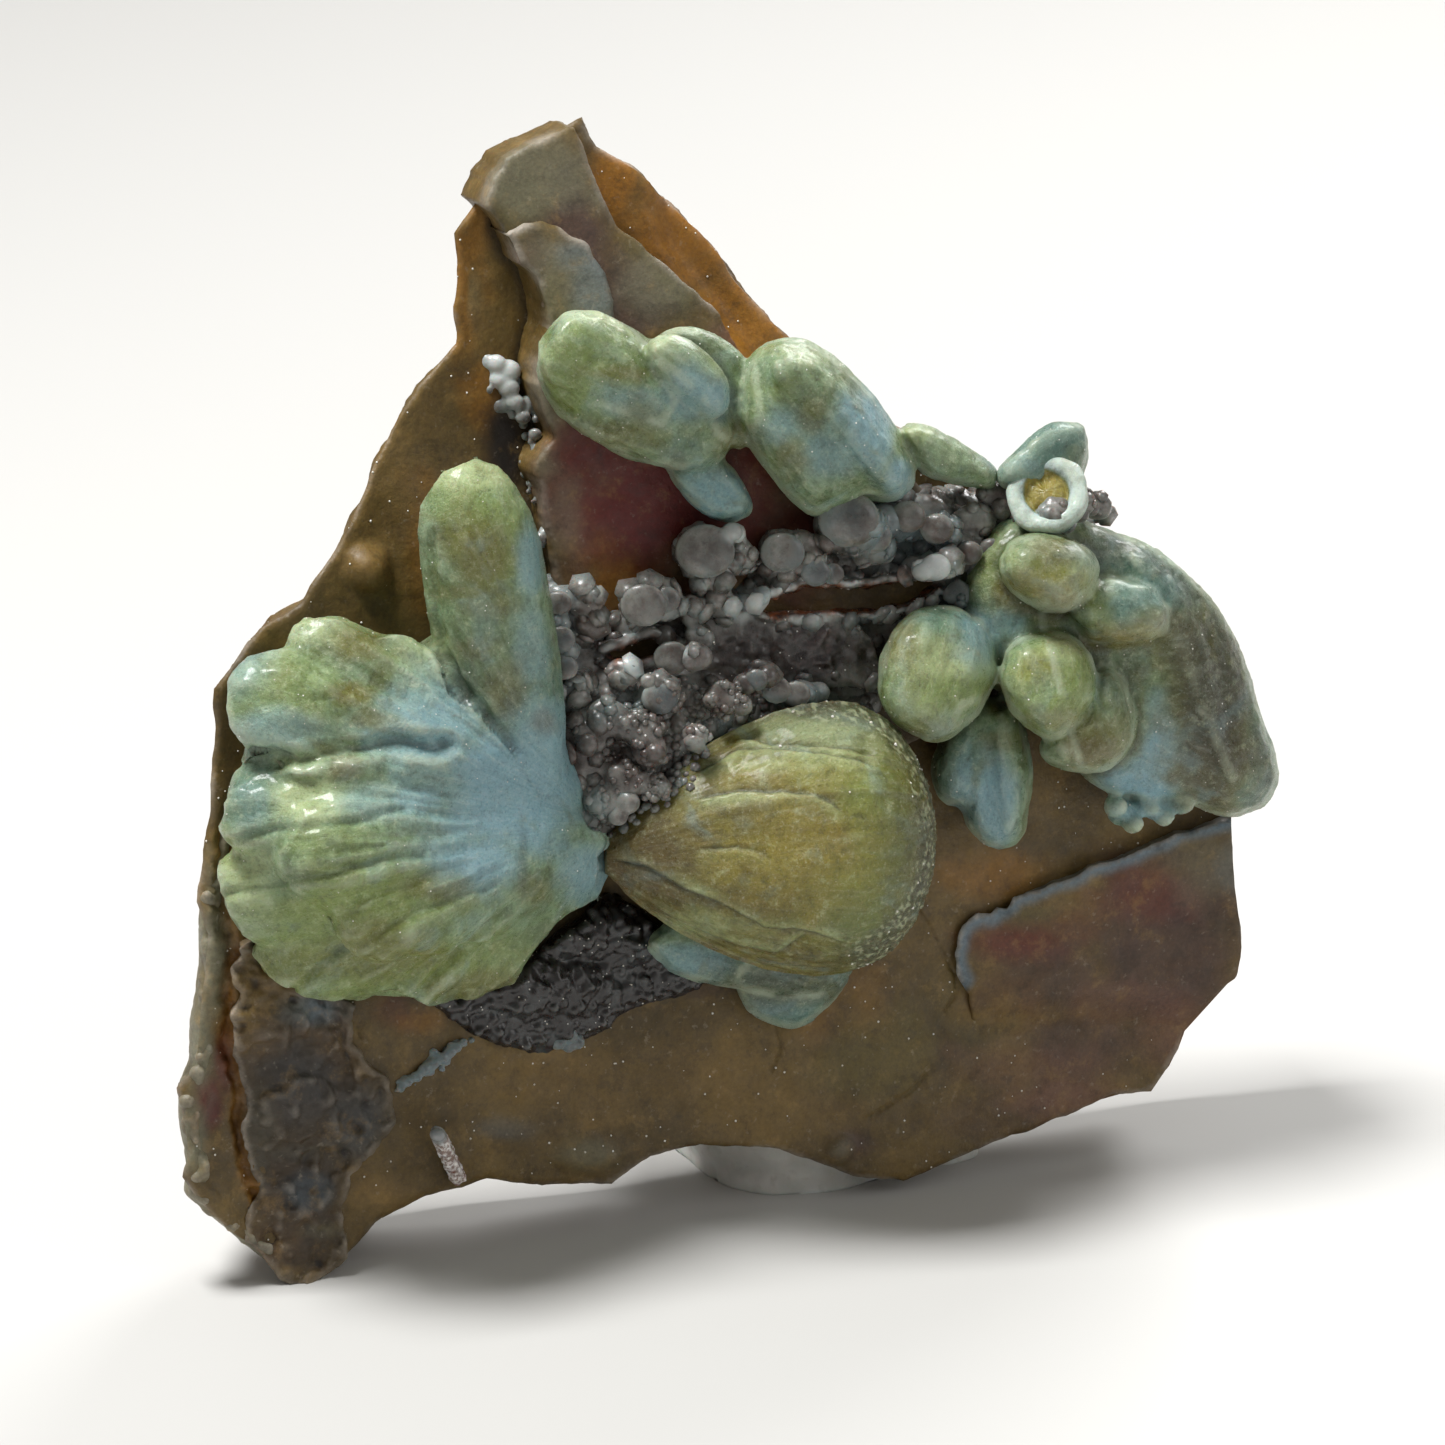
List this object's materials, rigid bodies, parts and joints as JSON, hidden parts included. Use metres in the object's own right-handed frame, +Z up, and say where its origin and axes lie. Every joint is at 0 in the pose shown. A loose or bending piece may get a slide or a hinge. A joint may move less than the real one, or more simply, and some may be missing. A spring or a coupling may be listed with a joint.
{
  "type": "mineral specimen",
  "caption": "Plumbogummite pseudomorph specimen: barrel crystals and a fan of them on a thin plate of brown matrix with a botryoidal grey crust, standing on a putty foot.",
  "frame": {"origin": "the ground directly under the middle of the putty foot", "axes": "+Z up, -Y the way the crystal-covered face looks, +X to the right of someone who faces it"},
  "size_m": [0.0477, 0.0183, 0.0451],
  "materials": {
    "matrix": "rough, brown with orange and red stains",
    "crust": "grey grape-like crust with a dull sheen",
    "blue_green_crystal": "waxy, fibrous pale blue and green",
    "golden_crystal": "waxy, golden olive",
    "clear_crystal": "glassy",
    "putty": "soft white putty"
  },
  "bodies": {
    "root": {"matrix_plate": "matrix", "grey_crust": "crust", "fan_spray": "blue_green_crystal", "upper_cluster": "blue_green_crystal", "right_cluster": "blue_green_crystal", "lens_crystal": "blue_green_crystal", "golden_barrel": "golden_crystal", "clear_needle": "clear_crystal", "putty_foot": "putty"}
  },
  "joints": []
}
